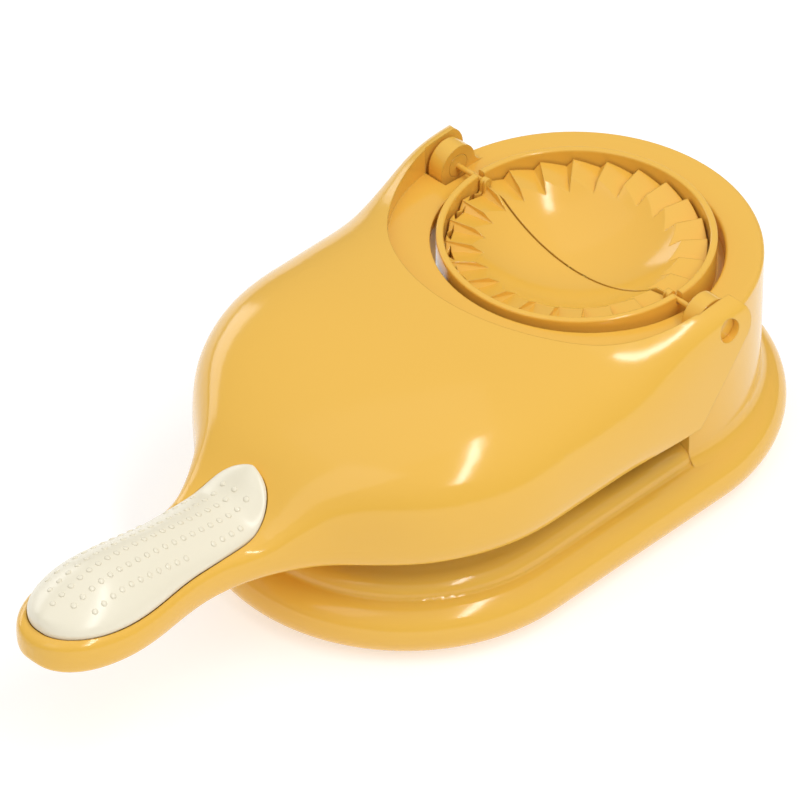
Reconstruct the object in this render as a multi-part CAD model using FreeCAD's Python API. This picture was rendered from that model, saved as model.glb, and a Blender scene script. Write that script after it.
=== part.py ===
import FreeCAD, Part
import math
import os

# Hand press that rolls a dough wrapper under its lever and folds a dumpling in the mould on top.
# Millimetres. While a piece is modelled, x = 0 is the hinge axis, +X points to the tower,
# +Y is the left side and z = 0 is the table. place() then centres the part on the table.

# Heights above the table
AXIS_HEIGHT = 63.3
RIM_RISE = 2.0
LAND_DROP = 2.65
DECK_HEIGHT = 22.2
FOOT_LIFT = 1.2

# Clearances
RUN_FIT = 0.05
SCREW_FIT = 0.05
SEAT_FIT = 0.3
SWING_FIT = 0.4

# Base: foot with a rounded nose, plinth above it and the round tower at the rear
BASE_HALF_WIDTH = 59.6
FRONT_CENTRE = 67.2
NOSE_RADIUS = 8.0
PLINTH_ROLL = 5.0
PLINTH_VALLEY = 1.2
LAND_WIDTH = 10.8
TOWER_FRONT = 8.0
TOWER_FILLET = 6.0
BASE_WALL = 2.6
WELL_CLEARANCE = 2.2
SHELF_THICKNESS = 3.0
SHELF_SETBACK = 0.5
LAND_EDGE_ROUND = 1.0

# Hinge: bosses on the tower, ears on the lever, one stepped pin on each side
BOSS_RADIUS = 6.5
BOSS_INSET = 6.0
BOSS_LENGTH = 5.2
BOSS_BLEND = 4.0
EAR_RADIUS = 8.5
EAR_THICKNESS = 6.1
PIN_RADIUS = 3.5
PIN_RECESS = 2.5
PIN_TIP_RADIUS = 0.8
TONGUE_REACH = 2.3
TONGUE_GAP = 1.8

# Mould: one ring round two leaves, each half a bowl with a pleated margin
RING_WALL = 2.1
RING_HEIGHT = 10.5
RING_EDGE_ROUND = 0.6
LEDGE_REACH = 3.4
LEDGE_THICKNESS = 3.0
LEAF_CLEARANCE = 0.7
LEAF_WALL = 2.0
LEAF_RIDGE_DROP = 0.3
PARTING_GAP = 0.6
LEAF_MARGIN = 6.2
BOWL_MOUTH_DROP = 0.6
BOWL_DEPTH = 11.0
PLEATS_PER_LEAF = 12
PLEAT_DEPTH = 2.5
PLEAT_REACH = 4.4
PLEAT_STEEP_SHARE = 0.22
CRIMP_NOTCH_DEPTH = 1.3
CRIMP_NOTCH_SHARE = 0.42
LUG_RADIUS = 1.5
LUG_LENGTH = 2.0

# Lever: domed cover that narrows to a handle
LEVER_MARGIN = 1.1
LEVER_WALL = 2.6
LAND_PLATE = 2.5
LAND_TILT = 4.1
LAND_HOLE_CLEARANCE = 1.7
SKIRT_HEIGHT = 35.3
SKIRT_WAIST_RISE = 6.2
SKIRT_TUCK = 10.0
SKIRT_REAR = 11.0
DOME_RISE = 8.0
DOME_RUN = 73.0
DOME_SQUARENESS = 0.32
EAR_SQUARENESS = 0.98
EAR_BLEND_LENGTH = 41.0
HANDLE_REACH = 208.2
HANDLE_SWELL_SHARE = 0.49
HANDLE_SWELL_HALF = 16.8
NECK_HALF = 14.1
NECK_ROUND = 53.5
HANDLE_DROP = 3.3
HANDLE_THICKNESS = 12.6
HANDLE_TIP_RISE = 2.7
HANDLE_SQUARENESS = 0.55
CREST_BLEND = 4.2
TIP_POWER = 2.15
TIP_SIDE_POWER = 4.0
TIP_TURN = 86.0
LEVER_STATIONS = 23
HOLLOW_STATIONS = 13
GRIP_STATIONS = 8
TIP_STATIONS = 7

# Grip: crowned insert in a pocket on top of the handle
GRIP_REAR = 125.0
GRIP_FRONT_MARGIN = 3.5
GRIP_SIDE_MARGIN = 2.2
GRIP_CROWN = 10.3
GRIP_REAR_CROWN = 4.2
GRIP_FRONT_CROWN = 5.8
GRIP_SQUARENESS = -0.3
GRIP_DEPTH = 3.0
GRIP_SEAM = 0.3
GRIP_POCKET_DEPTH = 8.0
GRIP_BOSS_RADIUS = 3.5
GRIP_SCREW_INSET = 21.3
GRIP_SCREW_SETBACK = 4.0

# Wrapper press under the lever
TRAY_MARGIN = 18.1
TRAY_THICKNESS = 2.4
TRAY_RIM_WIDTH = 2.0
TRAY_RIM_HEIGHT = 1.2
PLATE_MARGIN = 1.5
PLATE_THICKNESS = 3.6
PLATE_EDGE_ROUND = 1.0
PRESS_GAP = 0.3
LINER_LIFT = 2.2
LINER_THICKNESS = 2.0
LINER_REAR = 36.0
POST_RADIUS = 4.0
LINER_POST_INSET = 22.5
PLATE_POST_INSET = 18.0
PLATE_POSTS = 3
TRAY_POST_INSET = 9.5
TRAY_POSTS = 3
TRAY_WASHER_RADIUS = 7.0
TRAY_WASHER_THICKNESS = 0.8

# Underside: cover plate, rubber feet and the screws
COVER_THICKNESS = 2.4
COVER_MARGIN = 10.0
COVER_POST_RADIUS = 4.5
COVER_POST_ROOT = 0.6
RUBBER_RADIUS = 7.0
RUBBER_SEAT = 1.0
RUBBER_INSET = 21.0
SCREW_RADIUS = 1.3
SCREW_HEAD_RADIUS = 2.6
SCREW_HEAD_HEIGHT = 1.6
SCREW_LENGTH = 8.0
MOULD_SCREW_LENGTH = 5.2
MOULD_SCREW_ANGLE = 52.0

# Shape of the squared oval: the control points of an ellipse's quarter and of a box-like one
ELLIPSE_NEAR = 0.331
ELLIPSE_LONG = 0.866
ELLIPSE_SHORT = 0.631
BOX_NEAR = 0.8

# Sizes that follow from the ones above: widths step inwards from the foot to the lever, tower and mould
LEVER_HALF_WIDTH = BASE_HALF_WIDTH - LEVER_MARGIN
EAR_INNER = LEVER_HALF_WIDTH - EAR_THICKNESS
TOWER_RADIUS = EAR_INNER - SWING_FIT
BOSS_INNER = TOWER_RADIUS - BOSS_INSET
RING_RADIUS = TOWER_RADIUS - LAND_WIDTH - WELL_CLEARANCE
TRAY_RADIUS = BASE_HALF_WIDTH - TRAY_MARGIN
TRAY_POST_RADIUS_OUT = TRAY_RADIUS - TRAY_POST_INSET
PLATE_RADIUS = TRAY_RADIUS - TRAY_RIM_WIDTH - PLATE_MARGIN
PLATE_POST_RADIUS_OUT = PLATE_RADIUS - PLATE_POST_INSET
LINER_POST_RADIUS_OUT = LEVER_HALF_WIDTH - LINER_POST_INSET
RIM_HEIGHT = AXIS_HEIGHT + RIM_RISE
LAND_HEIGHT = AXIS_HEIGHT - LAND_DROP
RING_BOTTOM = RIM_HEIGHT - RING_HEIGHT
RING_BORE = RING_RADIUS - RING_WALL
SHELF_BORE = RING_BORE - LEDGE_REACH - SHELF_SETBACK
LEDGE_TOP = RING_BOTTOM + LEDGE_THICKNESS
LEAF_RADIUS = RING_BORE - LEAF_CLEARANCE
BOWL_MOUTH_RADIUS = LEAF_RADIUS - LEAF_MARGIN
PLEAT_INNER_RADIUS = BOWL_MOUTH_RADIUS - PLEAT_REACH
LEAF_TOP = AXIS_HEIGHT - LEAF_RIDGE_DROP
LEAF_UNDERSIDE = LEDGE_TOP + SEAT_FIT
BOWL_TOP = LEAF_TOP - BOWL_MOUTH_DROP
BOWL_RADIUS = (BOWL_MOUTH_RADIUS ** 2 + BOWL_DEPTH ** 2) / (2.0 * BOWL_DEPTH)
BOWL_CENTRE = BOWL_TOP - BOWL_DEPTH + BOWL_RADIUS
LAND_HOLE = RING_RADIUS + LAND_HOLE_CLEARANCE
TONGUE_EDGE = BOSS_INNER - TONGUE_GAP
NOSE_CENTRE_HEIGHT = NOSE_RADIUS + FOOT_LIFT
SHELL_BOTTOM = FOOT_LIFT
COVER_TOP = SHELL_BOTTOM + COVER_THICKNESS
DECK_UNDERSIDE = DECK_HEIGHT - BASE_WALL
SHELF_TOP = RING_BOTTOM
SHELF_UNDERSIDE = SHELF_TOP - SHELF_THICKNESS
TRAY_TOP = DECK_HEIGHT + TRAY_THICKNESS
PLATE_BOTTOM = TRAY_TOP + PRESS_GAP
PLATE_TOP = PLATE_BOTTOM + PLATE_THICKNESS
LINER_HEIGHT = SKIRT_HEIGHT + LINER_LIFT
LINER_TOP = LINER_HEIGHT + LINER_THICKNESS
HANDLE_BOTTOM = SKIRT_HEIGHT - HANDLE_DROP
HANDLE_TOP = HANDLE_BOTTOM + HANDLE_THICKNESS
NECK_REACH = FRONT_CENTRE + math.sqrt((LEVER_HALF_WIDTH + NECK_ROUND) ** 2 - (NECK_HALF + NECK_ROUND) ** 2)
HANDLE_SWELL = NECK_REACH + (HANDLE_REACH - NECK_REACH) * HANDLE_SWELL_SHARE
GRIP_SCREW_REACHES = (GRIP_REAR + GRIP_SCREW_INSET, HANDLE_SWELL - GRIP_SCREW_SETBACK)
GRIP_FRONT = HANDLE_REACH - GRIP_FRONT_MARGIN
HINGE_X = (HANDLE_REACH - BASE_HALF_WIDTH) / 2.0
BIG = 2.0 * HANDLE_REACH
UP = FreeCAD.Vector(0, 0, 1)
ALONG_Y = FreeCAD.Vector(0, 1, 0)


def vec(x, y, z):
    return FreeCAD.Vector(x, y, z)


def place(shape):
    """Move a finished piece so that the whole part is centred over the origin."""
    moved = shape.copy()
    moved.translate(vec(HINGE_X, 0, 0))
    return moved


def cylinder(radius, z_low, z_high, x=0.0, y=0.0):
    return Part.makeCylinder(radius, z_high - z_low, vec(x, y, z_low), UP)


def axle(radius, y_low, y_high):
    """Cylinder on the hinge axis between two values of y."""
    return Part.makeCylinder(radius, y_high - y_low, vec(0, y_low, AXIS_HEIGHT), ALONG_Y)


def box(x_low, x_high, y_low, y_high, z_low, z_high):
    corner = vec(x_low, y_low, z_low)
    return Part.makeBox(x_high - x_low, y_high - y_low, z_high - z_low, corner)


def both_sides(shape):
    """The shape and its mirror image in the middle plane of the press."""
    return shape.fuse(shape.mirror(vec(0, 0, 0), ALONG_Y))


def arc_edge(centre, radius, start, end, place_point):
    """Arc in a plane; start and end are angles in degrees, place_point maps (u, v) to 3-D."""
    angles = (start, (start + end) / 2.0, end)
    points = [place_point(*turned(centre, radius, angle)) for angle in angles]
    return Part.Arc(points[0], points[1], points[2]).toShape()


def radial(r, z):
    return vec(r, 0, z)


def side(x, z):
    return vec(x, 0, z)


def line(a, b):
    return Part.makeLine(a, b)


def outside_tangent(first, first_radius, second, second_radius, radius):
    """Centre of a circle that touches two circles from outside, on their right-hand side."""
    reach_a = first_radius + radius
    reach_b = second_radius + radius
    du = second[0] - first[0]
    dv = second[1] - first[1]
    gap = math.hypot(du, dv)
    along = (reach_a ** 2 - reach_b ** 2 + gap ** 2) / (2.0 * gap)
    across = math.sqrt(reach_a ** 2 - along ** 2)
    return (first[0] + (along * du - across * dv) / gap, first[1] + (along * dv + across * du) / gap)


def turned(origin, radius, angle):
    """Point at a distance and an angle in degrees from an origin in a plane."""
    turn = math.radians(angle)
    return (origin[0] + radius * math.cos(turn), origin[1] + radius * math.sin(turn))


def angle_to(origin, target):
    return math.degrees(math.atan2(target[1] - origin[1], target[0] - origin[0]))


def stadium_solid(face):
    """Sweep a radial profile round the base outline: two half turns and the straight middle."""
    front = face.copy()
    front.rotate(vec(0, 0, 0), UP, 90)
    front = front.revolve(vec(0, 0, 0), UP, 180)
    front.translate(vec(-FRONT_CENTRE, 0, 0))
    rear = face.copy()
    rear.rotate(vec(0, 0, 0), UP, -90)
    rear = rear.revolve(vec(0, 0, 0), UP, 180)
    left = face.copy()
    left.rotate(vec(0, 0, 0), UP, 90)
    middle = both_sides(left.extrude(vec(-FRONT_CENTRE, 0, 0)))
    return front.fuse([rear, middle]).removeSplitter()


def stadium_plate(radius, z_low, z_high):
    """Flat plate with the base's long outline."""
    corners = [radial(0, z_low), radial(radius, z_low), radial(radius, z_high), radial(0, z_high)]
    return stadium_solid(Part.Face(Part.makePolygon(corners + corners[:1])))


def screw(x, y, seat, length, head_down=True):
    """Pan-head screw standing on its seat; the head is below the seat when head_down is set."""
    head = cylinder(SCREW_HEAD_RADIUS, seat - SCREW_HEAD_HEIGHT, seat, x, y)
    shank = cylinder(SCREW_RADIUS, seat, seat + length, x, y)
    solid = head.fuse(shank)
    if not head_down:
        solid = solid.mirror(vec(x, y, seat), UP)
    return solid


def ring_places(count, radius, start):
    """Points on a circle round the centre of the wrapper press."""
    places = []
    for index in range(count):
        angle = math.radians(start + 360.0 * index / count)
        places.append((-FRONT_CENTRE + radius * math.cos(angle), radius * math.sin(angle)))
    return places


# Screw and post places
COVER_POST_INSET = TOWER_RADIUS - BASE_WALL - COVER_POST_RADIUS + COVER_POST_ROOT
COVER_PLACES = [
    (-FRONT_CENTRE - COVER_POST_INSET, 0.0),
    (-FRONT_CENTRE / 2.0, COVER_POST_INSET),
    (-FRONT_CENTRE / 2.0, -COVER_POST_INSET),
    (COVER_POST_INSET, 0.0),
]
TRAY_PLACES = ring_places(TRAY_POSTS, TRAY_POST_RADIUS_OUT, 0.0)
PLATE_PLACES = ring_places(PLATE_POSTS, PLATE_POST_RADIUS_OUT, 180.0)
LINER_PLACES = [
    (-FRONT_CENTRE - LINER_POST_RADIUS_OUT, 0.0),
    (-FRONT_CENTRE, LINER_POST_RADIUS_OUT),
    (-FRONT_CENTRE, -LINER_POST_RADIUS_OUT),
]
MOULD_SCREW_RING = RING_BORE - LEDGE_REACH / 2.0 + RING_WALL / 2.0
MOULD_PLACES = []
for turn in (-MOULD_SCREW_ANGLE, 0.0, MOULD_SCREW_ANGLE):
    MOULD_PLACES.append((
        MOULD_SCREW_RING * math.cos(math.radians(turn)),
        MOULD_SCREW_RING * math.sin(math.radians(turn)),
    ))
RUBBER_PLACES = {
    "foot_front_left": (-FRONT_CENTRE - RUBBER_INSET, RUBBER_INSET),
    "foot_front_right": (-FRONT_CENTRE - RUBBER_INSET, -RUBBER_INSET),
    "foot_rear_left": (RUBBER_INSET, RUBBER_INSET),
    "foot_rear_right": (RUBBER_INSET, -RUBBER_INSET),
}


def foot_profile():
    """Half section of the foot: nose, valley, plinth roll and flat deck."""
    nose = (BASE_HALF_WIDTH - NOSE_RADIUS, NOSE_CENTRE_HEIGHT)
    roll = (TOWER_RADIUS - PLINTH_ROLL, DECK_HEIGHT - PLINTH_ROLL)
    valley = outside_tangent(roll, PLINTH_ROLL, nose, NOSE_RADIUS, PLINTH_VALLEY)
    nose_end = angle_to(nose, valley)
    roll_start = angle_to(roll, valley)
    edges = [
        line(radial(0, SHELL_BOTTOM), radial(nose[0], SHELL_BOTTOM)),
        arc_edge(nose, NOSE_RADIUS, -90.0, nose_end, radial),
        arc_edge(valley, PLINTH_VALLEY, nose_end + 180.0, roll_start + 180.0, radial),
        arc_edge(roll, PLINTH_ROLL, roll_start, 90.0, radial),
        line(radial(roll[0], DECK_HEIGHT), radial(0, DECK_HEIGHT)),
        line(radial(0, DECK_HEIGHT), radial(0, SHELL_BOTTOM)),
    ]
    return Part.Face(Part.Wire(edges))


def foot_hollow():
    """Inside of the foot, one wall in from its skin, with the opening for the cover."""
    nose = (BASE_HALF_WIDTH - NOSE_RADIUS, NOSE_CENTRE_HEIGHT)
    inner = NOSE_RADIUS - BASE_WALL
    roll_edge = TOWER_RADIUS - PLINTH_ROLL
    edges = [
        line(radial(0, COVER_TOP), radial(nose[0], COVER_TOP)),
        line(radial(nose[0], COVER_TOP), radial(nose[0], nose[1] - inner)),
        arc_edge(nose, inner, -90.0, 90.0, radial),
        line(radial(nose[0], nose[1] + inner), radial(roll_edge, DECK_UNDERSIDE)),
        line(radial(roll_edge, DECK_UNDERSIDE), radial(0, DECK_UNDERSIDE)),
        line(radial(0, DECK_UNDERSIDE), radial(0, COVER_TOP)),
    ]
    hollow = stadium_solid(Part.Face(Part.Wire(edges)))
    opening = stadium_plate(BASE_HALF_WIDTH - COVER_MARGIN + SEAT_FIT, 0.0, COVER_TOP)
    return hollow.fuse(opening)


def boss_block():
    """Left bearing block: round over the hinge axis, with a hollow blend down to the land."""
    land = AXIS_HEIGHT - LAND_DROP
    blend_x = math.sqrt((BOSS_RADIUS + BOSS_BLEND) ** 2 - (BOSS_BLEND - LAND_DROP) ** 2)
    blend = (blend_x, land + BOSS_BLEND)
    centre = (0.0, AXIS_HEIGHT)
    meet = angle_to(centre, blend)
    low = SHELF_UNDERSIDE
    edges = [
        line(side(-BOSS_RADIUS, low), side(-BOSS_RADIUS, AXIS_HEIGHT)),
        arc_edge(centre, BOSS_RADIUS, 180.0, meet, side),
        arc_edge(blend, BOSS_BLEND, meet + 180.0, 270.0, side),
        line(side(blend_x, land), side(blend_x, low)),
        line(side(blend_x, low), side(-BOSS_RADIUS, low)),
    ]
    face = Part.Face(Part.Wire(edges))
    face.translate(vec(0, BOSS_INNER, 0))
    return face.extrude(vec(0, BOSS_LENGTH, 0))


def tower_solid():
    """Round tower with its foot fillet, land, mould well and bearing blocks."""
    nose = (BASE_HALF_WIDTH - NOSE_RADIUS, NOSE_CENTRE_HEIGHT)
    rise = math.sqrt((NOSE_RADIUS + TOWER_FILLET) ** 2 - (TOWER_RADIUS + TOWER_FILLET - nose[0]) ** 2)
    fillet = (TOWER_RADIUS + TOWER_FILLET, nose[1] + rise)
    meet = angle_to(nose, fillet)
    toe = turned(nose, NOSE_RADIUS, meet)
    edge = (TOWER_RADIUS - LAND_EDGE_ROUND, LAND_HEIGHT - LAND_EDGE_ROUND)
    well = RING_RADIUS + WELL_CLEARANCE
    lip = (well + LAND_EDGE_ROUND, LAND_HEIGHT - LAND_EDGE_ROUND)
    inner = TOWER_RADIUS - BASE_WALL
    edges = [
        line(radial(inner, DECK_UNDERSIDE), radial(nose[0], nose[1])),
        line(radial(nose[0], nose[1]), radial(toe[0], toe[1])),
        arc_edge(fillet, TOWER_FILLET, meet + 180.0, 180.0, radial),
        line(radial(TOWER_RADIUS, fillet[1]), radial(TOWER_RADIUS, edge[1])),
        arc_edge(edge, LAND_EDGE_ROUND, 0.0, 90.0, radial),
        line(radial(edge[0], LAND_HEIGHT), radial(lip[0], LAND_HEIGHT)),
        arc_edge(lip, LAND_EDGE_ROUND, 90.0, 180.0, radial),
        line(radial(well, lip[1]), radial(well, SHELF_TOP)),
        line(radial(well, SHELF_TOP), radial(SHELF_BORE, SHELF_TOP)),
        line(radial(SHELF_BORE, SHELF_TOP), radial(SHELF_BORE, SHELF_UNDERSIDE)),
        line(radial(SHELF_BORE, SHELF_UNDERSIDE), radial(inner, SHELF_UNDERSIDE)),
        line(radial(inner, SHELF_UNDERSIDE), radial(inner, DECK_UNDERSIDE)),
    ]
    full = Part.Face(Part.Wire(edges)).revolve(vec(0, 0, 0), UP, 360)
    ahead = box(-BIG, -TOWER_FRONT, -BIG, BIG, 0.0, BIG)
    swing_floor = AXIS_HEIGHT - math.hypot(TONGUE_REACH, land_underside_drop()) - SWING_FIT
    top_front = box(-BIG, TONGUE_REACH + SWING_FIT, -BOSS_INNER, BOSS_INNER, swing_floor, BIG)
    outer_front = box(-BIG, -BOSS_RADIUS, -BIG, BIG, swing_floor, BIG)
    tower = full.cut(ahead).cut(top_front).cut(outer_front)
    front_top = AXIS_HEIGHT - leaf_swing_radius() - SWING_FIT
    wall = box(-TOWER_FRONT, -TOWER_FRONT + BASE_WALL, -inner, inner, DECK_UNDERSIDE, front_top)
    drum = cylinder(TOWER_RADIUS, DECK_UNDERSIDE, RIM_HEIGHT + BOSS_RADIUS)
    blocks = both_sides(boss_block()).common(drum)
    return tower.fuse([wall, blocks])


def land_underside_drop():
    """Depth of the underside of the lever's land below the hinge axis."""
    return LAND_DROP + LAND_PLATE


def leaf_swing_radius():
    """Depth below the hinge axis that the front leaf's bowl reaches."""
    return AXIS_HEIGHT - (BOWL_TOP - BOWL_DEPTH - LEAF_WALL)


def base_shell():
    """Foot, deck and tower in one moulding, with posts for the cover and holes for the screws."""
    shell = stadium_solid(foot_profile()).cut(foot_hollow())
    tower_room = cylinder(TOWER_RADIUS - BASE_WALL, COVER_TOP, SHELF_UNDERSIDE)
    room_front = box(-BIG, -TOWER_FRONT + BASE_WALL, -BIG, BIG, 0.0, BIG)
    shell = shell.cut(tower_room.cut(room_front))
    shell = shell.fuse(tower_solid())
    posts = []
    for x, y in COVER_PLACES:
        top = SHELF_UNDERSIDE if x > 0 else DECK_UNDERSIDE
        posts.append(cylinder(COVER_POST_RADIUS, COVER_TOP, top, x, y))
    shell = shell.fuse(posts)
    cuts = []
    for x, y in COVER_PLACES:
        cuts.append(cylinder(SCREW_RADIUS + SCREW_FIT, COVER_TOP, COVER_TOP + SCREW_LENGTH, x, y))
    for x, y in TRAY_PLACES:
        cuts.append(cylinder(POST_RADIUS + SEAT_FIT, 0.0, BIG, x, y).common(deck_slab()))
    for x, y in MOULD_PLACES:
        cuts.append(cylinder(SCREW_RADIUS + SCREW_FIT, SHELF_UNDERSIDE, SHELF_TOP, x, y))
    cuts.append(axle(PIN_RADIUS + RUN_FIT, -TOWER_RADIUS, TOWER_RADIUS))
    shell = shell.cut(cuts)
    return shell.removeSplitter()


def deck_slab():
    return stadium_plate(TOWER_RADIUS - PLINTH_ROLL, DECK_UNDERSIDE, DECK_HEIGHT)


def base_cover():
    """Flat plate that closes the foot from below, with seats for the rubber feet."""
    cover = stadium_plate(BASE_HALF_WIDTH - COVER_MARGIN, SHELL_BOTTOM, COVER_TOP)
    cuts = []
    for x, y in COVER_PLACES:
        cuts.append(cylinder(SCREW_RADIUS + SCREW_FIT, SHELL_BOTTOM, COVER_TOP, x, y))
        cuts.append(cylinder(SCREW_HEAD_RADIUS + SEAT_FIT, 0.0, SHELL_BOTTOM + SCREW_HEAD_HEIGHT, x, y))
    for x, y in RUBBER_PLACES.values():
        cuts.append(cylinder(RUBBER_RADIUS, 0.0, SHELL_BOTTOM + RUBBER_SEAT, x, y))
    return cover.cut(cuts)


def cover_screws():
    seat = SHELL_BOTTOM + SCREW_HEAD_HEIGHT
    return Part.makeCompound([screw(x, y, seat, SCREW_LENGTH) for x, y in COVER_PLACES])


def rubber_foot(x, y):
    """Round rubber foot set into the cover; its lower edge is rounded."""
    foot = cylinder(RUBBER_RADIUS, 0.0, SHELL_BOTTOM + RUBBER_SEAT, x, y)
    lower = [edge for edge in foot.Edges if abs(edge.BoundBox.ZMax) < RUN_FIT and edge.Closed]
    return foot.makeFillet(FOOT_LIFT / 2.0, lower)


def press_tray():
    """Lower half of the wrapper press: a shallow dish screwed to the deck from below."""
    tray = cylinder(TRAY_RADIUS, DECK_HEIGHT, TRAY_TOP + TRAY_RIM_HEIGHT, -FRONT_CENTRE)
    dish = cylinder(TRAY_RADIUS - TRAY_RIM_WIDTH, TRAY_TOP, BIG, -FRONT_CENTRE)
    tower_side = box(-TOWER_FRONT - SEAT_FIT, BIG, -BIG, BIG, 0.0, BIG)
    tray = tray.cut(dish).cut(tower_side)
    posts = []
    holes = []
    for x, y in TRAY_PLACES:
        posts.append(cylinder(POST_RADIUS, DECK_UNDERSIDE, DECK_HEIGHT, x, y))
        holes.append(cylinder(SCREW_RADIUS + SCREW_FIT, DECK_UNDERSIDE, tray_screw_end(), x, y))
    return tray.fuse(posts).cut(holes).removeSplitter()


def tray_screw_end():
    return DECK_HEIGHT + TRAY_THICKNESS / 2.0


def tray_screws():
    """Wide-headed screws whose heads bear on the underside of the deck."""
    length = tray_screw_end() - DECK_UNDERSIDE
    solids = []
    for x, y in TRAY_PLACES:
        washer = cylinder(TRAY_WASHER_RADIUS, DECK_UNDERSIDE - TRAY_WASHER_THICKNESS, DECK_UNDERSIDE, x, y)
        solids.append(screw(x, y, DECK_UNDERSIDE, length).fuse(washer).removeSplitter())
    return Part.makeCompound(solids)


def mould_ring():
    """One-piece ring with an inner ledge, notched where the hinge pins come through."""
    top = (RING_RADIUS - RING_EDGE_ROUND, RIM_HEIGHT - RING_EDGE_ROUND)
    lip = (RING_BORE + RING_EDGE_ROUND, RIM_HEIGHT - RING_EDGE_ROUND)
    ledge = RING_BORE - LEDGE_REACH
    edges = [
        line(radial(ledge, RING_BOTTOM), radial(RING_RADIUS, RING_BOTTOM)),
        line(radial(RING_RADIUS, RING_BOTTOM), radial(RING_RADIUS, top[1])),
        arc_edge(top, RING_EDGE_ROUND, 0.0, 90.0, radial),
        line(radial(top[0], RIM_HEIGHT), radial(lip[0], RIM_HEIGHT)),
        arc_edge(lip, RING_EDGE_ROUND, 90.0, 180.0, radial),
        line(radial(RING_BORE, lip[1]), radial(RING_BORE, LEDGE_TOP)),
        line(radial(RING_BORE, LEDGE_TOP), radial(ledge, LEDGE_TOP)),
        line(radial(ledge, LEDGE_TOP), radial(ledge, RING_BOTTOM)),
    ]
    ring = Part.Face(Part.Wire(edges)).revolve(vec(0, 0, 0), UP, 360)
    half = PIN_TIP_RADIUS + SEAT_FIT
    slot = box(-half, half, -BIG, BIG, AXIS_HEIGHT, BIG)
    round_end = axle(half, -BIG, BIG)
    holes = []
    for x, y in MOULD_PLACES:
        holes.append(cylinder(SCREW_RADIUS + SCREW_FIT, RING_BOTTOM, RING_BOTTOM + mould_screw_grip(), x, y))
    return ring.cut(slot).cut(round_end).cut(holes)


def mould_screw_grip():
    return MOULD_SCREW_LENGTH - SHELF_THICKNESS


def mould_screws():
    solids = [screw(x, y, SHELF_UNDERSIDE, MOULD_SCREW_LENGTH) for x, y in MOULD_PLACES]
    return Part.makeCompound(solids)


def leaf_profile():
    """Half section of a leaf: bowl skin and the flat margin that carries the pleats."""
    centre = (0.0, BOWL_CENTRE)
    outer = BOWL_RADIUS + LEAF_WALL
    mouth = angle_to(centre, (BOWL_MOUTH_RADIUS, BOWL_TOP))
    under_r = math.sqrt(outer ** 2 - (BOWL_CENTRE - LEAF_UNDERSIDE) ** 2)
    under = angle_to(centre, (under_r, LEAF_UNDERSIDE))
    edges = [
        arc_edge(centre, outer, -90.0, under, radial),
        line(radial(under_r, LEAF_UNDERSIDE), radial(LEAF_RADIUS, LEAF_UNDERSIDE)),
        line(radial(LEAF_RADIUS, LEAF_UNDERSIDE), radial(LEAF_RADIUS, LEAF_TOP)),
        line(radial(LEAF_RADIUS, LEAF_TOP), radial(BOWL_MOUTH_RADIUS, BOWL_TOP)),
        arc_edge(centre, BOWL_RADIUS, mouth, -90.0, radial),
        line(radial(0, BOWL_CENTRE - BOWL_RADIUS), radial(0, BOWL_CENTRE - outer)),
    ]
    return Part.Face(Part.Wire(edges))


def polyhedron(faces):
    shell = Part.Shell([Part.Face(Part.makePolygon(list(corners) + [corners[0]])) for corners in faces])
    solid = Part.Solid(shell)
    if solid.Volume < 0:
        solid.reverse()
    return solid


def pleat_cut(start, pitch):
    """Wedge that leaves one broad flat panel, sloping down to the steep step of the next pleat."""
    outer = LEAF_RADIUS + PLEAT_DEPTH
    high = LEAF_TOP + PLEAT_DEPTH
    first = math.radians(start)
    last = math.radians(start + pitch)
    a = vec(outer * math.cos(first), outer * math.sin(first), LEAF_TOP)
    b = vec(outer * math.cos(last), outer * math.sin(last), LEAF_TOP)
    v = a + (b - a) * (1.0 - PLEAT_STEEP_SHARE)
    v.z = LEAF_TOP - PLEAT_DEPTH
    valley = angle_to((0.0, 0.0), (v.x, v.y))
    drop = math.sqrt(BOWL_RADIUS ** 2 - PLEAT_INNER_RADIUS ** 2)
    tip_x, tip_y = turned((0.0, 0.0), PLEAT_INNER_RADIUS, valley)
    tip = vec(tip_x, tip_y, BOWL_CENTRE - drop)
    slope = (v - a).cross(tip - a)
    root_x, root_y = turned((0.0, 0.0), PLEAT_INNER_RADIUS, valley - pitch)
    root = vec(root_x, root_y, a.z - (slope.x * (root_x - a.x) + slope.y * (root_y - a.y)) / slope.z)
    a_high = vec(a.x, a.y, high)
    b_high = vec(b.x, b.y, high)
    tip_high = vec(tip.x, tip.y, high)
    root_high = vec(root.x, root.y, high)
    return polyhedron([
        (a, v, b, b_high, a_high),
        (a, root, tip, v),
        (v, tip, b),
        (a, a_high, root_high, root),
        (root, root_high, tip_high, tip),
        (b, tip, tip_high, b_high),
        (a_high, b_high, tip_high, root_high),
    ])


def crimp_notch(start, pitch):
    """Small triangular notch through the leaf's edge at the outer end of a pleat."""
    middle = math.radians(start + pitch / 2.0)
    half = math.radians(pitch * CRIMP_NOTCH_SHARE)
    inner = LEAF_RADIUS - CRIMP_NOTCH_DEPTH
    point = LEAF_RADIUS + CRIMP_NOTCH_DEPTH / 4.0
    corners = []
    for radius, angle in ((inner, middle - half), (point, middle), (inner, middle + half)):
        corners.append(vec(radius * math.cos(angle), radius * math.sin(angle), LEAF_UNDERSIDE - LEAF_WALL))
    face = Part.Face(Part.makePolygon(corners + corners[:1]))
    return face.extrude(vec(0, 0, BIG))


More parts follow.
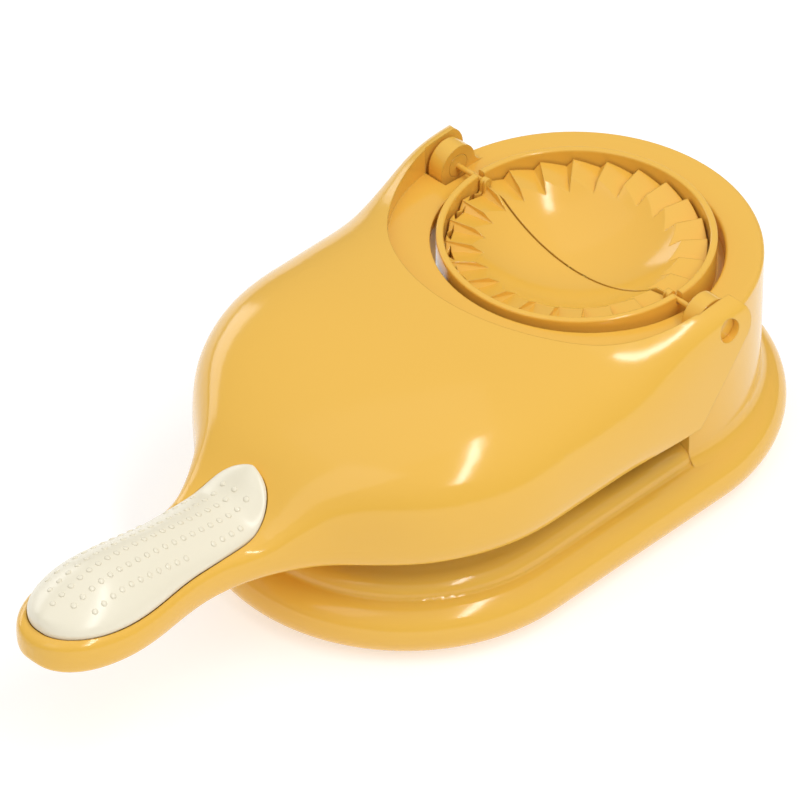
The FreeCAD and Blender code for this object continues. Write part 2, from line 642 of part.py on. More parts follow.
def leaf_half():
    """Rear half of the mould's bowl with its pleats."""
    leaf = leaf_profile()
    leaf.rotate(vec(0, 0, 0), UP, -90)
    leaf = leaf.revolve(vec(0, 0, 0), UP, 180)
    leaf = leaf.cut(box(-BIG, PARTING_GAP / 2.0, -BIG, BIG, 0.0, BIG))
    pitch = 180.0 / PLEATS_PER_LEAF
    cuts = []
    for index in range(PLEATS_PER_LEAF):
        start = 90.0 - index * pitch
        cuts.append(pleat_cut(start, -pitch))
    return leaf.cut(cuts)


def lug_room(clearance):
    """Round room on the hinge axis for the end lugs of the front leaf."""
    inner = LEAF_RADIUS - LUG_LENGTH - clearance
    return both_sides(axle(LUG_RADIUS + clearance, inner, LEAF_RADIUS + LUG_LENGTH))


def rear_leaf():
    """Fixed leaf; its margin sits on the ring's ledge."""
    leaf = leaf_half().cut(lug_room(SEAT_FIT))
    seat = Part.makeCylinder(LEAF_RADIUS, LEAF_UNDERSIDE - LEDGE_TOP, vec(0, 0, LEDGE_TOP), UP)
    seat = seat.cut(cylinder(LEAF_RADIUS - LEAF_WALL, LEDGE_TOP, LEAF_UNDERSIDE))
    seat = seat.cut(box(-BIG, BOWL_MOUTH_RADIUS / 2.0, -BIG, BIG, 0.0, BIG))
    return leaf.fuse(seat).removeSplitter()


def crimp_cuts():
    pitch = 180.0 / PLEATS_PER_LEAF
    return [crimp_notch(90.0 - index * pitch, -pitch) for index in range(PLEATS_PER_LEAF)]


def front_leaf():
    """Moving leaf with a lug at each end that the tip of a hinge pin is pressed into."""
    leaf = leaf_half()
    leaf.rotate(vec(0, 0, 0), UP, 180)
    inner = LEAF_RADIUS - LUG_LENGTH
    edge = math.sqrt(LEAF_RADIUS ** 2 - LUG_RADIUS ** 2)
    lug = axle(LUG_RADIUS, inner, edge)
    stem = box(-LUG_RADIUS, -PARTING_GAP / 2.0, inner, edge, LEAF_TOP - PLEAT_DEPTH, AXIS_HEIGHT)
    leaf = leaf.fuse(both_sides(lug.fuse(stem)))
    bores = both_sides(axle(PIN_TIP_RADIUS, inner, LEAF_RADIUS))
    notches = [notch.mirror(vec(0, 0, 0), vec(1, 0, 0)) for notch in crimp_cuts()]
    return leaf.cut([bores] + notches)


def hinge_pin():
    """Left pin: thick end in the ear, journal in the bearing block, thin tip in the leaf's lug."""
    thick = axle(PIN_RADIUS, BOSS_INNER, LEVER_HALF_WIDTH - PIN_RECESS)
    tip = axle(PIN_TIP_RADIUS, LEAF_RADIUS - LUG_LENGTH, BOSS_INNER)
    return thick.fuse(tip).removeSplitter()


def round_off(share, power):
    """Falls from 1 to 0 as the share grows from 0 to 1, like the end of a rounded bar."""
    return max(0.0, 1.0 - max(0.0, share) ** power) ** (1.0 / power)


def tip_share(reach, last):
    """Share of the way from the widest place of the handle to just past a rounded end."""
    apex = (last - HANDLE_SWELL) / math.sin(math.radians(TIP_TURN))
    return (reach - HANDLE_SWELL) / apex


def half_width(reach):
    """Plan half-width of the lever at a distance ahead of the hinge axis."""
    neck_y = NECK_HALF + NECK_ROUND
    touch = FRONT_CENTRE + (NECK_REACH - FRONT_CENTRE) * LEVER_HALF_WIDTH / (LEVER_HALF_WIDTH + NECK_ROUND)
    if reach <= FRONT_CENTRE:
        return LEVER_HALF_WIDTH
    if reach <= touch:
        return math.sqrt(LEVER_HALF_WIDTH ** 2 - (reach - FRONT_CENTRE) ** 2)
    if reach <= NECK_REACH:
        return neck_y - math.sqrt(NECK_ROUND ** 2 - (NECK_REACH - reach) ** 2)
    share = min(1.0, (reach - NECK_REACH) / (HANDLE_SWELL - NECK_REACH))
    handle = NECK_HALF + (HANDLE_SWELL_HALF - NECK_HALF) * ease(share)
    return handle * round_off(tip_share(reach, HANDLE_REACH), TIP_POWER)


def handle_start():
    return FRONT_CENTRE + LEVER_HALF_WIDTH


def tip_rise(reach):
    """Upward curve of the handle towards its tip."""
    share = max(0.0, (reach - handle_start()) / (HANDLE_REACH - handle_start()))
    return HANDLE_TIP_RISE * share ** 2


def crest(reach):
    """Height of the lever's top along its middle: level, then round down and smoothly into the handle."""
    foot = SKIRT_HEIGHT - SKIRT_TUCK
    fall = round_off((reach - FRONT_CENTRE) / DOME_RUN, 2.0)
    dome = foot + (AXIS_HEIGHT + DOME_RISE - foot) * fall
    handle = HANDLE_TOP + tip_rise(reach)
    return (dome + handle + math.hypot(dome - handle, CREST_BLEND)) / 2.0


def ease(share):
    share = min(1.0, max(0.0, share))
    return share * share * (3.0 - 2.0 * share)


def handle_share(reach):
    """0 on the dome, 1 on the handle, with a smooth change at the front of the dome."""
    return ease((reach - FRONT_CENTRE) / (handle_start() + NECK_ROUND / 2.0 - FRONT_CENTRE))


def waist(reach):
    """Height at which the cross-section is widest: above the skirt's edge, then half-way up the handle."""
    handle = (HANDLE_TOP + HANDLE_BOTTOM) / 2.0
    dome = SKIRT_HEIGHT + SKIRT_WAIST_RISE
    return dome + (handle - dome) * handle_share(reach) + tip_rise(reach)


def lowest(reach):
    """Height of the lowest point of the cross-section, before the skirt is trimmed."""
    tucked = SKIRT_HEIGHT - SKIRT_TUCK
    return tucked + (HANDLE_BOTTOM - tucked) * handle_share(reach) + tip_rise(reach)


def squareness(reach):
    """Fullness of the cross-section's corners: square at the ears, rounder on the dome and handle."""
    ears = ease(reach / EAR_BLEND_LENGTH)
    full = EAR_SQUARENESS + (DOME_SQUARENESS - EAR_SQUARENESS) * ears
    return full + (HANDLE_SQUARENESS - full) * handle_share(reach)


def quarter(reach, half, middle, height, full):
    """Control points of a quarter section from side to top; full = 0 is an ellipse, 1 almost a box."""
    near = ELLIPSE_NEAR + (BOX_NEAR - ELLIPSE_NEAR) * full
    long = ELLIPSE_LONG + (1.0 - ELLIPSE_LONG) * full
    short = ELLIPSE_SHORT + (1.0 - ELLIPSE_SHORT) * full
    shape = ((1.0, 0.0), (1.0, near), (long, short), (short, long), (near, 1.0), (0.0, 1.0))
    return [vec(-reach, half * across, middle + height * up) for across, up in shape]


def section(reach, half, top, middle, bottom, upper, lower):
    """Closed cross-section at a distance ahead of the hinge, with its own fullness above and below."""
    corners = ((half, top, upper), (-half, top, upper), (-half, bottom, lower), (half, bottom, lower))
    return [quarter(reach, width, middle, height - middle, full) for width, height, full in corners]


def strip(rows):
    """Smooth face through one quarter of every cross-section."""
    stations = [float(index) for index in range(len(rows))]
    columns = []
    for column in zip(*rows):
        curve = Part.BSplineCurve()
        curve.interpolate(list(column), Parameters=stations)
        columns.append(curve)
    degree = len(columns) - 1
    surface = Part.BSplineSurface()
    surface.buildFromPolesMultsKnots(
        [curve.getPoles() for curve in columns], [degree + 1, degree + 1], columns[0].getMultiplicities(),
        [0.0, 1.0], columns[0].getKnots(), False, False, degree, columns[0].Degree)
    return surface.toShape()


def end_cap(quarters):
    edges = []
    for poles in quarters:
        curve = Part.BezierCurve()
        curve.setPoles(poles)
        edges.append(curve.toShape())
    return Part.Face(Part.Wire(Part.__sortEdges__(edges)))


def skin_solid(sections):
    """Closed solid with a smooth skin through a row of cross-sections."""
    faces = [strip([quarters[index] for quarters in sections]) for index in range(len(sections[0]))]
    shell = Part.Shell(faces + [end_cap(sections[0]), end_cap(sections[-1])])
    shell.sewShape()
    return Part.Solid(shell)


def lever_section(reach, inset=0.0):
    half = half_width(reach) - inset
    closing = round_off(tip_share(reach, HANDLE_REACH), TIP_SIDE_POWER)
    middle = waist(reach)
    top = middle + (crest(reach) - middle) * closing - inset
    bottom = middle - (middle - lowest(reach)) * closing
    full = squareness(reach)
    return section(reach, half, top, middle, bottom, full, full)


def spread(first, last, count):
    return [first + (last - first) * index / (count - 1.0) for index in range(count)]


def tip_stations(last):
    """Stations from the widest place of the handle that close up towards a rounded end."""
    whole = math.sin(math.radians(TIP_TURN))
    turns = spread(0.0, TIP_TURN, TIP_STATIONS)
    return [HANDLE_SWELL + (last - HANDLE_SWELL) * math.sin(math.radians(turn)) / whole for turn in turns]


def lever_skin():
    """Outer form of the lever as one smooth solid, from behind the ears to the tip of the handle."""
    reaches = spread(-EAR_RADIUS - SWING_FIT, HANDLE_SWELL, LEVER_STATIONS)
    reaches += tip_stations(HANDLE_REACH)[1:]
    return skin_solid([lever_section(reach) for reach in reaches])


def land_space(offset):
    """Everything below the lever's land, which tilts up towards the front, lowered by an offset."""
    slab = box(-BIG, BIG, -BIG, BIG, AXIS_HEIGHT - LAND_DROP - offset - BIG, AXIS_HEIGHT - LAND_DROP - offset)
    slab.rotate(vec(0, 0, AXIS_HEIGHT), ALONG_Y, LAND_TILT)
    return slab


def above_land(offset, radius):
    """Round space above the lever's land, or above a plane that lies an offset lower."""
    return cylinder(radius, 0.0, BIG).cut(land_space(offset))


def dome_hollow(wall):
    """Inside of the dome, one wall in from the skin, under the land and round the dish."""
    reaches = spread(EAR_RADIUS + LEVER_WALL, handle_start() - LEVER_WALL - SKIRT_TUCK, HOLLOW_STATIONS)
    hollow = skin_solid([lever_section(reach, wall) for reach in reaches])
    return hollow.cut(above_land(LAND_PLATE, EAR_INNER + LEVER_WALL))


def side_outline():
    """Side view of the lever: round about the hinge, sloping down to the skirt, then its lower edge."""
    centre = (0.0, AXIS_HEIGHT)
    corner = (-SKIRT_REAR, SKIRT_HEIGHT)
    front = side(-FRONT_CENTRE - LEVER_HALF_WIDTH / 2.0, SKIRT_HEIGHT)
    under = side(-NECK_REACH, HANDLE_BOTTOM - SKIRT_TUCK / 8.0)
    gap = math.hypot(corner[0] - centre[0], corner[1] - centre[1])
    lean = angle_to(centre, corner) + math.degrees(math.acos(EAR_RADIUS / gap))
    end = math.radians(lean)
    leave = side(EAR_RADIUS * math.cos(end), AXIS_HEIGHT + EAR_RADIUS * math.sin(end))
    top = AXIS_HEIGHT + EAR_RADIUS
    edges = [
        arc_edge(centre, EAR_RADIUS, 90.0, lean, side),
        line(leave, side(corner[0], corner[1])),
        line(side(corner[0], corner[1]), front),
        line(front, under),
        line(under, side(-BIG, 0)),
        line(side(-BIG, 0), side(-BIG, top)),
        line(side(-BIG, top), side(0, top)),
    ]
    face = Part.Face(Part.Wire(edges))
    face.translate(vec(0, -BIG, 0))
    return face.extrude(vec(0, 2.0 * BIG, 0))


def grip_share(reach, extra):
    """Share of the way into the grip's rounded rear or front end; 0 between them."""
    rear = (GRIP_REAR + NECK_HALF - reach) / (NECK_HALF + extra) * math.sin(math.radians(TIP_TURN))
    return max(0.0, rear, tip_share(reach, GRIP_FRONT + extra))


def grip_crown(reach):
    """Height of the grip's back above its seam: most at the widest place of the handle, less at both ends."""
    rear = 1.0 - ease((reach - GRIP_REAR) / (HANDLE_SWELL - GRIP_REAR))
    front = ease((reach - HANDLE_SWELL) / (GRIP_FRONT - HANDLE_SWELL))
    return GRIP_CROWN + (GRIP_REAR_CROWN - GRIP_CROWN) * rear + (GRIP_FRONT_CROWN - GRIP_CROWN) * front


def grip_section(reach, seam, room):
    """Cross-section of the grip, or of its pocket when it is widened by a seam and heightened by a room."""
    body = half_width(min(max(reach, NECK_REACH), HANDLE_SWELL)) - GRIP_SIDE_MARGIN + seam
    share = grip_share(reach, seam)
    closing = round_off(share, TIP_SIDE_POWER)
    level = crest(reach)
    half = body * round_off(share, TIP_POWER)
    top = level + (grip_crown(reach) + room) * closing
    bottom = level - (GRIP_DEPTH + seam) * closing
    return section(reach, half, top, level, bottom, GRIP_SQUARENESS, HANDLE_SQUARENESS)


def grip_loft(seam, room):
    swell = GRIP_REAR + NECK_HALF
    ends = [(reach - HANDLE_SWELL) / (GRIP_FRONT - HANDLE_SWELL) for reach in tip_stations(GRIP_FRONT)]
    reaches = [swell - (NECK_HALF + seam) * share for share in reversed(ends)]
    reaches += spread(swell, HANDLE_SWELL, GRIP_STATIONS)[1:-1]
    reaches += tip_stations(GRIP_FRONT + seam)
    return skin_solid([grip_section(reach, seam, room) for reach in reaches])


def grip_insert():
    """Crowned insert with two bosses that stand on the floor of its pocket."""
    grip = grip_loft(0.0, 0.0)
    bosses = []
    holes = []
    for reach in GRIP_SCREW_REACHES:
        floor = pocket_floor(reach)
        bosses.append(cylinder(GRIP_BOSS_RADIUS, floor, crest(reach), -reach))
        holes.append(cylinder(SCREW_RADIUS + SCREW_FIT, floor, crest(reach), -reach))
    return grip.fuse(bosses).cut(holes).removeSplitter()


def pocket_floor(reach):
    """Flat seat for a grip boss, level across the pocket."""
    return crest(reach) - GRIP_POCKET_DEPTH


def grip_pocket():
    """Room for the grip in the handle, a seam wider than the grip."""
    pocket = grip_loft(GRIP_SEAM, GRIP_DEPTH)
    seats = []
    for reach in GRIP_SCREW_REACHES:
        seats.append(cylinder(GRIP_BOSS_RADIUS + SEAT_FIT, pocket_floor(reach), crest(reach), -reach))
    return pocket.fuse(seats)


def grip_screw_seat(reach):
    return pocket_floor(reach) - SCREW_HEAD_HEIGHT


def grip_screws():
    solids = []
    for reach in GRIP_SCREW_REACHES:
        solids.append(screw(-reach, 0.0, grip_screw_seat(reach), SCREW_LENGTH))
    return Part.makeCompound(solids)


def lever_shell():
    """Outer moulding of the lever: dome, land round the mould, ears and handle."""
    skin = lever_skin().common(side_outline())
    room = box(-EAR_RADIUS - LEVER_WALL, BIG, -EAR_INNER, EAR_INNER, 0.0, BIG)
    under = room.common(land_space(LAND_PLATE))
    dish = above_land(0.0, EAR_INNER)
    boss_room = both_sides(box(-BOSS_RADIUS - SWING_FIT, BIG, TONGUE_EDGE, EAR_INNER, 0.0, BIG))
    rear_room = box(TONGUE_REACH, BIG, -EAR_INNER, EAR_INNER, 0.0, BIG)
    shell = skin.cut(dome_hollow(LEVER_WALL)).cut([under, dish, boss_room, rear_room])
    shell = shell.cut(cylinder(LAND_HOLE, 0.0, BIG))
    shell = shell.cut(grip_pocket())
    posts = []
    for x, y in LINER_PLACES:
        posts.append(cylinder(POST_RADIUS, LINER_TOP, BIG, x, y).common(lever_skin()))
    shell = shell.fuse(posts)
    holes = [both_sides(axle(PIN_RADIUS, EAR_INNER - RUN_FIT, LEVER_HALF_WIDTH + LEVER_WALL))]
    for x, y in LINER_PLACES:
        holes.append(cylinder(SCREW_RADIUS + SCREW_FIT, LINER_TOP, LINER_TOP + SCREW_LENGTH, x, y))
    for reach in GRIP_SCREW_REACHES:
        holes.append(cylinder(SCREW_RADIUS + SCREW_FIT, 0.0, pocket_floor(reach), -reach))
        holes.append(cylinder(SCREW_HEAD_RADIUS + SEAT_FIT, 0.0, grip_screw_seat(reach), -reach))
    return shell.cut(holes)


def lever_liner():
    """Flat panel inside the skirt; it closes the dome and carries the upper press plate."""
    slab = box(-BIG, -LINER_REAR, -BIG, BIG, LINER_HEIGHT, LINER_TOP)
    panel = dome_hollow(LEVER_WALL + SEAT_FIT).common(slab)
    holes = []
    for x, y in LINER_PLACES:
        holes.append(cylinder(SCREW_RADIUS + SCREW_FIT, LINER_HEIGHT, LINER_TOP, x, y))
    for x, y in PLATE_PLACES:
        holes.append(cylinder(SCREW_RADIUS + SCREW_FIT, LINER_HEIGHT, LINER_TOP, x, y))
    return panel.cut(holes)


def liner_screws():
    return Part.makeCompound([screw(x, y, LINER_HEIGHT, SCREW_LENGTH) for x, y in LINER_PLACES])


def press_plate():
    """Upper half of the wrapper press: a flat disc on three posts under the liner."""
    disc = cylinder(PLATE_RADIUS, PLATE_BOTTOM, PLATE_TOP, -FRONT_CENTRE)
    rims = [edge for edge in disc.Edges if edge.Closed]
    disc = disc.makeFillet(PLATE_EDGE_ROUND, rims)
    posts = []
    holes = []
    for x, y in PLATE_PLACES:
        posts.append(cylinder(POST_RADIUS, PLATE_TOP, LINER_HEIGHT, x, y))
        holes.append(cylinder(SCREW_RADIUS + SCREW_FIT, LINER_TOP - SCREW_LENGTH, LINER_HEIGHT, x, y))
    return disc.fuse(posts).cut(holes)


def plate_screws():
    solids = [screw(x, y, LINER_TOP, SCREW_LENGTH, head_down=False) for x, y in PLATE_PLACES]
    return Part.makeCompound(solids)


def main():
    os.makedirs("parts", exist_ok=True)
    left_pin = hinge_pin()
    pieces = {
        "base_shell": base_shell(),
        "base_cover": base_cover(),
        "cover_screws": cover_screws(),
        "press_tray": press_tray(),
        "tray_screws": tray_screws(),
        "mould_ring": mould_ring(),
        "rear_leaf": rear_leaf(),
        "mould_screws": mould_screws(),
        "lever_shell": lever_shell(),
        "lever_liner": lever_liner(),
        "liner_screws": liner_screws(),
        "press_plate": press_plate(),
        "plate_screws": plate_screws(),
        "grip_insert": grip_insert(),
        "grip_screws": grip_screws(),
        "front_leaf": front_leaf(),
        "hinge_pin_left": left_pin,
        "hinge_pin_right": left_pin.mirror(vec(0, 0, 0), ALONG_Y),
    }
    for name, (x, y) in RUBBER_PLACES.items():
        pieces[name] = rubber_foot(x, y)
    for name, shape in pieces.items():
        place(shape).exportStep("parts/" + name + ".step")
        print(name, "solids", len(shape.Solids), "volume", round(shape.Volume, 1), "valid", shape.isValid())


if __name__ == "__main__":
    main()
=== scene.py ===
import bpy
import bmesh
import math
from mathutils import Matrix, Quaternion, Vector
from mathutils.bvhtree import BVHTree


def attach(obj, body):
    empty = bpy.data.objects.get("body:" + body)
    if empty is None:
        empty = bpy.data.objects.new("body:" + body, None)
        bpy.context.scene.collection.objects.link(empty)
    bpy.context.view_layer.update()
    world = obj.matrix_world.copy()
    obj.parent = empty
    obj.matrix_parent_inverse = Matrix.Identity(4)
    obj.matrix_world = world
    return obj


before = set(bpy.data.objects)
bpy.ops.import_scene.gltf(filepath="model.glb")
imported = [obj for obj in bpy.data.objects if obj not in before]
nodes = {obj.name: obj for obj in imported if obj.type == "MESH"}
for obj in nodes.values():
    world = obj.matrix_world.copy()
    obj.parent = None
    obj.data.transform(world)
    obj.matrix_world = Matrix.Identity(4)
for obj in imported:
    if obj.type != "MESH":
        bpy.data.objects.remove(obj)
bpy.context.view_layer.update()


# Base: foot, deck and round tower in one injection moulding of warm yellow glossy plastic, closed from
# below by a screwed cover plate. The tool is polished, so the skin is smooth, with a trace of colour
# drift, and every corner is a little rounded where the moulding leaves the tool.
DRIFT_SCALE, DRIFT_DETAIL = 14.0, 2.0
GRAIN_SCALE, GRAIN_DETAIL = 900.0, 3.0
CORNER_SAMPLES = 6


def linear(red, green, blue):
    """Scene colour from eight-bit display values."""
    shares = [value / 255.0 for value in (red, green, blue)]
    return tuple(s / 12.92 if s <= 0.04045 else ((s + 0.055) / 1.055) ** 2.4 for s in shares) + (1.0,)


def link(tree, source, target):
    tree.links.new(source, target)


moulded_skin = bpy.data.node_groups.new("moulded_skin", "ShaderNodeTree")
for name, kind, io in (
    ("Light", "NodeSocketColor", "INPUT"),
    ("Deep", "NodeSocketColor", "INPUT"),
    ("Roughness", "NodeSocketFloat", "INPUT"),
    ("Spread", "NodeSocketFloat", "INPUT"),
    ("Color", "NodeSocketColor", "OUTPUT"),
    ("Roughness", "NodeSocketFloat", "OUTPUT"),
    ("Height", "NodeSocketFloat", "OUTPUT"),
):
    moulded_skin.interface.new_socket(name, in_out=io, socket_type=kind)
group_in = moulded_skin.nodes.new("NodeGroupInput")
group_out = moulded_skin.nodes.new("NodeGroupOutput")
place = moulded_skin.nodes.new("ShaderNodeTexCoord")
drift = moulded_skin.nodes.new("ShaderNodeTexNoise")
drift.inputs["Scale"].default_value = DRIFT_SCALE
drift.inputs["Detail"].default_value = DRIFT_DETAIL
grain = moulded_skin.nodes.new("ShaderNodeTexNoise")
grain.inputs["Scale"].default_value = GRAIN_SCALE
grain.inputs["Detail"].default_value = GRAIN_DETAIL
tint = moulded_skin.nodes.new("ShaderNodeMix")
tint.data_type = "RGBA"
gloss = moulded_skin.nodes.new("ShaderNodeMapRange")
low = moulded_skin.nodes.new("ShaderNodeMath")
low.operation = "SUBTRACT"
high = moulded_skin.nodes.new("ShaderNodeMath")
high.operation = "ADD"
for texture in (drift, grain):
    link(moulded_skin, place.outputs["Object"], texture.inputs["Vector"])
link(moulded_skin, drift.outputs["Fac"], tint.inputs["Factor"])
link(moulded_skin, group_in.outputs["Deep"], tint.inputs["A"])
link(moulded_skin, group_in.outputs["Light"], tint.inputs["B"])
for node in (low, high):
    link(moulded_skin, group_in.outputs["Roughness"], node.inputs[0])
    link(moulded_skin, group_in.outputs["Spread"], node.inputs[1])
link(moulded_skin, grain.outputs["Fac"], gloss.inputs["Value"])
link(moulded_skin, low.outputs["Value"], gloss.inputs["To Min"])
link(moulded_skin, high.outputs["Value"], gloss.inputs["To Max"])
link(moulded_skin, tint.outputs["Result"], group_out.inputs["Color"])
link(moulded_skin, gloss.outputs["Result"], group_out.inputs["Roughness"])
link(moulded_skin, grain.outputs["Fac"], group_out.inputs["Height"])


def moulded_plastic(name, light, deep, roughness, spread, depth, edge):
    """Finished surface: two close shades, a little gloss variation, a fine skin and soft edges."""
    material = bpy.data.materials.new(name)
    material.use_nodes = True
    tree = material.node_tree
    shader = tree.nodes["Principled BSDF"]
    skin = tree.nodes.new("ShaderNodeGroup")
    skin.node_tree = moulded_skin
    skin.inputs["Light"].default_value = light
    skin.inputs["Deep"].default_value = deep
    skin.inputs["Roughness"].default_value = roughness
    skin.inputs["Spread"].default_value = spread
    corner = tree.nodes.new("ShaderNodeBevel")
    corner.samples = CORNER_SAMPLES
    corner.inputs["Radius"].default_value = edge
    bump = tree.nodes.new("ShaderNodeBump")
    bump.inputs["Strength"].default_value = 1.0
    bump.inputs["Distance"].default_value = depth
    link(tree, corner.outputs["Normal"], bump.inputs["Normal"])
    link(tree, skin.outputs["Color"], shader.inputs["Base Color"])
    link(tree, skin.outputs["Roughness"], shader.inputs["Roughness"])
    link(tree, skin.outputs["Height"], bump.inputs["Height"])
    link(tree, bump.outputs["Normal"], shader.inputs["Normal"])
    return material


def dress(node, material):
    """Give a CAD piece its finished material."""
    mesh = nodes[node].data
    mesh.materials.clear()
    mesh.materials.append(material)


yellow = moulded_plastic(
    "warm_yellow_plastic", light=linear(239, 188, 78), deep=linear(237, 185, 74),
    roughness=0.14, spread=0.015, depth=0.000001, edge=0.0005)
dress("base_shell", yellow)
dress("base_cover", yellow)

# Rubber feet: four soft black discs, punched from sheet and pressed into round seats in the cover.
# They keep the press from sliding, and their cut faces are matt and slightly rough.
rubber = moulded_plastic(
    "foot_rubber", light=linear(46, 44, 42), deep=linear(36, 34, 33),
    roughness=0.75, spread=0.08, depth=0.00002, edge=0.0005)
for corner in ("front_left", "front_right", "rear_left", "rear_right"):
    dress("foot_" + corner, rubber)

# Screws: cold-headed steel with a zinc plating, driven into posts moulded on the yellow and cream pieces.
# The plating is bright but uneven, so the sheen varies a little over each head.
steel = moulded_plastic(
    "zinc_plated_steel", light=linear(196, 196, 200), deep=linear(176, 177, 182),
    roughness=0.32, spread=0.06, depth=0.000004, edge=0.0002)
steel.node_tree.nodes["Principled BSDF"].inputs["Metallic"].default_value = 1.0
for group in ("cover_screws", "tray_screws", "mould_screws", "liner_screws", "plate_screws", "grip_screws"):
    dress(group, steel)

# Wrapper press: tray screwed to the deck, plate and panel screwed under the lever, in cream plastic.
# These pieces touch dough, so they are plain mouldings with smooth faces that wash clean.
cream = moulded_plastic(
    "cream_plastic", light=linear(241, 234, 212), deep=linear(238, 230, 206),
    roughness=0.26, spread=0.02, depth=0.000001, edge=0.0005)
for piece in ("press_tray", "press_plate", "lever_liner"):
    dress(piece, cream)

# Mould: one ring screwed to the tower and two pleated leaves, moulded in the body's yellow plastic.
# The rear leaf rests on the ring's ledge, and the front leaf hangs on the tips of the hinge pins.
for piece in ("mould_ring", "rear_leaf", "front_leaf"):
    dress(piece, yellow)

# Lever: domed shell with ears and handle in one moulding, of the same yellow plastic as the base.
# Two stepped pins of that plastic, pressed in through the ears, hold it to the tower.
for piece in ("lever_shell", "hinge_pin_left", "hinge_pin_right"):
    dress(piece, yellow)

# Grip: cream insert with a high back, dropped into a pocket in the handle and screwed from below.
# Five straight rows of small round studs are moulded on its back, so that a wet hand holds it.
STUD_ROWS = (-0.00912, -0.00456, 0.0, 0.00456, 0.00912)
STUD_FIRST, STUD_PITCH, STUD_COLUMNS = -0.1252, 0.00335, 21
STUD_RADIUS, STUD_HEIGHT = 0.0009, 0.00035
STUD_CLEAR = 0.0024
STUD_LEAST_RISE = 0.5
ABOVE_GRIP = 1.0
dress("grip_insert", cream)
grip_mesh = nodes["grip_insert"].data
grip_back = BVHTree.FromPolygons(
    [vertex.co for vertex in grip_mesh.vertices], [face.vertices[:] for face in grip_mesh.polygons])


def on_grip(x, y):
    """Point and direction on the grip's back, straight below a place in plan."""
    return grip_back.ray_cast(Vector((x, y, ABOVE_GRIP)), Vector((0.0, 0.0, -1.0)))[:2]


stud_builder = bmesh.new()
for y in STUD_ROWS:
    for column in range(STUD_COLUMNS):
        x = STUD_FIRST + STUD_PITCH * column
        point, out = on_grip(x, y)
        shifts = [(dx, dy) for dx in (-STUD_CLEAR, STUD_CLEAR) for dy in (-STUD_CLEAR, STUD_CLEAR)]
        sides = [on_grip(x + dx, y + dy)[1] for dx, dy in shifts]
        if point is None or any(side is None or side.z < STUD_LEAST_RISE for side in sides):
            continue
        seat = Matrix.Translation(point) @ out.to_track_quat("Z", "Y").to_matrix().to_4x4()
        dome = Matrix.Diagonal((STUD_RADIUS, STUD_RADIUS, STUD_HEIGHT, 1.0))
        bmesh.ops.create_uvsphere(stud_builder, u_segments=10, v_segments=6, radius=1.0, matrix=seat @ dome)
for face in stud_builder.faces:
    face.smooth = True
stud_mesh = bpy.data.meshes.new("grip_studs")
stud_builder.to_mesh(stud_mesh)
stud_builder.free()
stud_mesh.materials.append(cream)
studs = bpy.data.objects.new("grip_studs", stud_mesh)
bpy.context.scene.collection.objects.link(studs)
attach(studs, "lever")

# Stage: white paper sweep under the press, lit like a product shot in a bright room.
# A long strip light draws the sharp highlights, and large weak panels fill the rest.
FLOOR_HALF = 6.0
FLOOR_SHADE = (0.6, 0.6, 0.6, 1.0)
FLOOR_ROUGHNESS = 0.9
FLOOR_GLOW = 0.52
WHITE = (1.0, 1.0, 1.0, 1.0)
floor_mesh = bpy.data.meshes.new("floor")
floor_builder = bmesh.new()
bmesh.ops.create_grid(floor_builder, x_segments=1, y_segments=1, size=FLOOR_HALF)
floor_builder.to_mesh(floor_mesh)
floor_builder.free()
floor = bpy.data.objects.new("floor", floor_mesh)
bpy.context.scene.collection.objects.link(floor)
floor_material = bpy.data.materials.new("pale_floor")
floor_material.use_nodes = True
floor_shader = floor_material.node_tree.nodes["Principled BSDF"]
floor_shader.inputs["Base Color"].default_value = FLOOR_SHADE
floor_shader.inputs["Emission Color"].default_value = WHITE
floor_shader.inputs["Emission Strength"].default_value = FLOOR_GLOW
floor_shader.inputs["Roughness"].default_value = FLOOR_ROUGHNESS
floor_mesh.materials.append(floor_material)

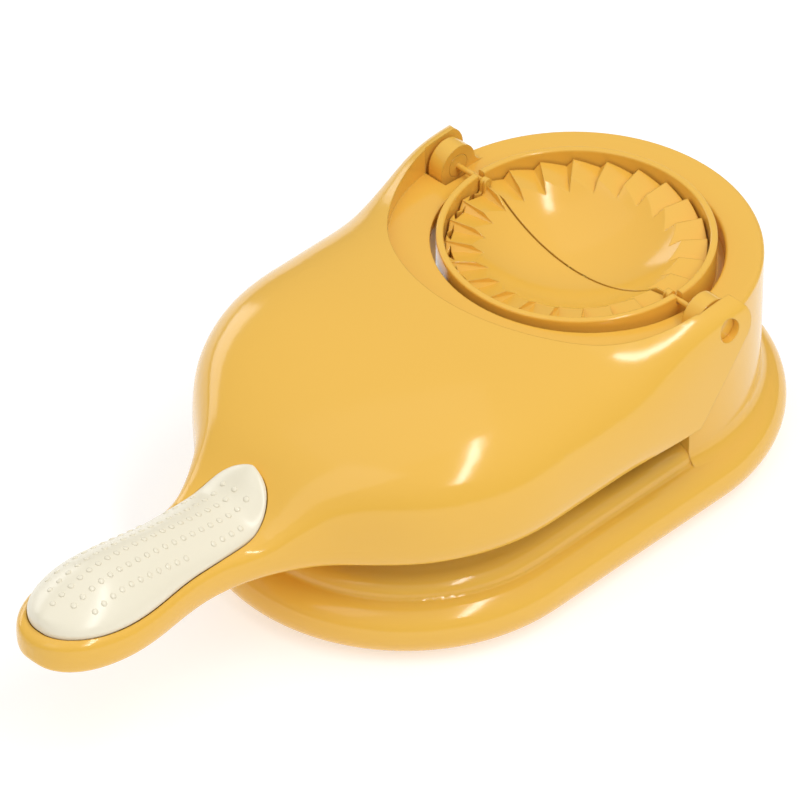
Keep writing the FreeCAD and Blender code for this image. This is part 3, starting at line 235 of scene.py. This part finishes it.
SKY_TOP = 0.9
SKY_AT_HORIZON, SKY_AT_TOP = 0.18, 0.8
world = bpy.data.worlds.new("studio")
world.use_nodes = True
sky = world.node_tree.nodes["Background"]
direction = world.node_tree.nodes.new("ShaderNodeTexCoord")
split = world.node_tree.nodes.new("ShaderNodeSeparateXYZ")
ceiling = world.node_tree.nodes.new("ShaderNodeMapRange")
ceiling.inputs["From Min"].default_value = 0.0
ceiling.inputs["From Max"].default_value = SKY_TOP
ceiling.inputs["To Min"].default_value = SKY_AT_HORIZON
ceiling.inputs["To Max"].default_value = SKY_AT_TOP
link(world.node_tree, direction.outputs["Generated"], split.inputs["Vector"])
link(world.node_tree, split.outputs["Z"], ceiling.inputs["Value"])
link(world.node_tree, ceiling.outputs["Result"], sky.inputs["Strength"])
sky.inputs["Color"].default_value = WHITE
bpy.context.scene.world = world

LAMP_AIM = Vector((0.0, 0.0, 0.04))


def softbox(name, place, size, watts, lean=0.0):
    """Rectangular studio light that faces the press, turned by lean degrees about its own axis."""
    lamp = bpy.data.lights.new(name, "AREA")
    lamp.shape = "RECTANGLE"
    lamp.size, lamp.size_y = size
    lamp.energy = watts
    light = bpy.data.objects.new(name, lamp)
    light.location = place
    light.rotation_mode = "QUATERNION"
    facing = (LAMP_AIM - Vector(place)).to_track_quat("-Z", "Y")
    light.rotation_quaternion = facing @ Quaternion((0.0, 0.0, 1.0), math.radians(lean))
    bpy.context.scene.collection.objects.link(light)


softbox("strip", (0.035, -0.82, 1.31), (1.42, 0.12), 9.0, 54.7)
softbox("back", (0.06, 1.75, 0.48), (1.2, 0.6), 5.0)
softbox("top", (0.1, 0.3, 1.8), (1.6, 1.2), 1.6)
softbox("left", (-0.95, 0.05, 1.4), (0.9, 0.9), 2.0)

# Camera: the photo's three-quarter view from the front right and above, through a long lens.
# The view follows the camera that was fitted to the outlines for the part's proportions.
CAMERA_AZIMUTH = math.radians(-45.18)
CAMERA_ELEVATION = math.radians(39.71)
CAMERA_DISTANCE = 2.2763
CAMERA_AIM = Vector((0.01885, 0.0138, 0.0296))
IMAGE_WIDTH = 800.0
FOCAL_PIXELS = 8235.6
camera_data = bpy.data.cameras.new("camera")
camera_data.sensor_width = 36.0
camera_data.lens = camera_data.sensor_width * FOCAL_PIXELS / IMAGE_WIDTH
camera = bpy.data.objects.new("camera", camera_data)
level = math.cos(CAMERA_ELEVATION)
back = Vector((
    math.sin(CAMERA_AZIMUTH) * level,
    -math.cos(CAMERA_AZIMUTH) * level,
    math.sin(CAMERA_ELEVATION),
))
camera.location = CAMERA_AIM + back * CAMERA_DISTANCE
camera.rotation_mode = "QUATERNION"
camera.rotation_quaternion = (-back).to_track_quat("-Z", "Y")
bpy.context.scene.collection.objects.link(camera)
bpy.context.scene.camera = camera
bpy.context.scene.view_settings.view_transform = "Standard"
